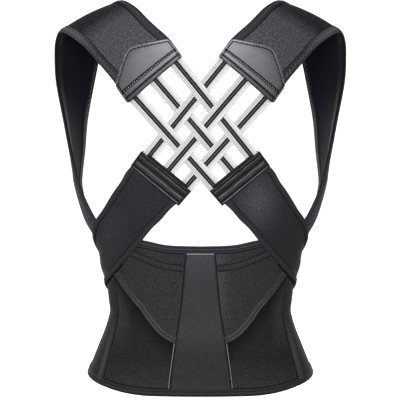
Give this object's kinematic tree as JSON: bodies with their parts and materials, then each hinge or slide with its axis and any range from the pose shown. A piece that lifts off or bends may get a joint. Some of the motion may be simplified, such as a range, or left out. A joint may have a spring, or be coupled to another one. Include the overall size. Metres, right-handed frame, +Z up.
{
  "type": "posture corrector",
  "caption": "Posture corrector in worn form: padded shoulder straps, a lattice of woven elastic bands, cross straps and a shaped waist belt.",
  "frame": {"origin": "centre of the wearer's waist, inside the belt", "axes": "+Z up the wearer's body, +X to the right as seen from behind, -Y towards the wearer's back"},
  "size_m": [0.3874, 0.2182, 0.5003],
  "materials": {
    "belt_cloth": "matt stretch knit over thin foam",
    "panel_cloth": "matt close knit",
    "strap_cloth": "matt brushed loop cloth",
    "binding_tape": "matt folded tape",
    "patch_leather": "soft sheen",
    "cap_leather": "soft sheen",
    "band_elastic": "woven elastic with a dark stripe",
    "hook_tape": "matt hook tape"
  },
  "bodies": {
    "root": {"back_panel": "belt_cloth", "wing_right": "belt_cloth", "wing_left": "belt_cloth", "closure_hook_patch": "hook_tape", "top_hem": "binding_tape", "bottom_hem": "binding_tape", "centre_panel": "panel_cloth", "tension_panel_left": "belt_cloth", "tension_panel_right": "belt_cloth", "yoke_left": "belt_cloth", "yoke_right": "belt_cloth", "side_stay_left": "binding_tape", "side_stay_right": "binding_tape", "shoulder_strap_left": "strap_cloth", "shoulder_strap_right": "strap_cloth", "shoulder_patch_left": "patch_leather", "shoulder_patch_right": "patch_leather", "shoulder_binding_left_inner": "binding_tape", "shoulder_binding_left_outer": "binding_tape", "shoulder_binding_right_inner": "binding_tape", "shoulder_binding_right_outer": "binding_tape", "cross_strap_left": "strap_cloth", "cross_strap_right": "strap_cloth", "cross_strap_cap_left": "cap_leather", "cross_strap_cap_right": "cap_leather", "cross_binding_left_upper": "binding_tape", "cross_binding_left_lower": "binding_tape", "cross_binding_right_upper": "binding_tape", "cross_binding_right_lower": "binding_tape", "strap_hook_tab_left": "hook_tape", "strap_hook_tab_right": "hook_tape", "band_backing_top_left": "hook_tape", "band_backing_top_right": "hook_tape", "band_backing_bottom_left": "hook_tape", "band_backing_bottom_right": "hook_tape", "lattice_band_down_1": "band_elastic", "lattice_band_down_2": "band_elastic", "lattice_band_down_3": "band_elastic", "lattice_band_up_1": "band_elastic", "lattice_band_up_2": "band_elastic", "lattice_band_up_3": "band_elastic"}
  },
  "joints": []
}
